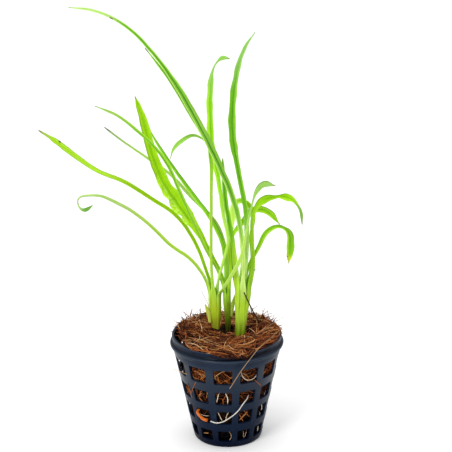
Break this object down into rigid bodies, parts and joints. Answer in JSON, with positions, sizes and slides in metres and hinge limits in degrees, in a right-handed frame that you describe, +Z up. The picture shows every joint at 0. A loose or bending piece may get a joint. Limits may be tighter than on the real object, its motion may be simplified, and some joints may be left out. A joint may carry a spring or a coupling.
{
  "type": "potted cryptocoryne",
  "caption": "Young aquarium plant with slender arching grass-like leaves, rooted in a coconut-fibre plug inside a tapered net pot.",
  "frame": {"origin": "centre of the pot's flat underside, where the pot rests", "axes": "+Z up along the pot's axis, -Y towards the front of the picture, +X to its right"},
  "size_m": [0.1106, 0.0633, 0.201],
  "materials": {
    "pot_plastic": "satin",
    "coir": "matte",
    "crown_flesh": "satin",
    "leaf": "satin",
    "old_sheath": "matte",
    "pale_root": "satin",
    "orange_root": "satin",
    "straw": "matte"
  },
  "bodies": {
    "root": {"net_pot": "pot_plastic", "coir_plug": "coir", "crown_left": "crown_flesh", "crown_middle": "crown_flesh", "crown_right": "crown_flesh", "leaf_left_arch": "leaf", "leaf_left_hooked": "leaf", "leaf_left_far": "leaf", "leaf_left_curl": "leaf", "leaf_left_front": "leaf", "leaf_middle_broad": "leaf", "leaf_middle_slender": "leaf", "leaf_middle_back": "leaf", "leaf_middle_long": "leaf", "leaf_middle_right": "leaf", "leaf_right_longest": "leaf", "leaf_right_second": "leaf", "leaf_right_short": "leaf", "leaf_right_tall": "leaf", "leaf_right_wavy": "leaf", "leaf_right_folded": "leaf", "leaf_right_drooping": "leaf", "stub_left": "old_sheath", "stub_middle": "old_sheath", "root_white": "pale_root", "root_orange": "orange_root", "straw_front": "straw", "straw_back": "straw", "straw_dark": "straw"}
  },
  "joints": []
}
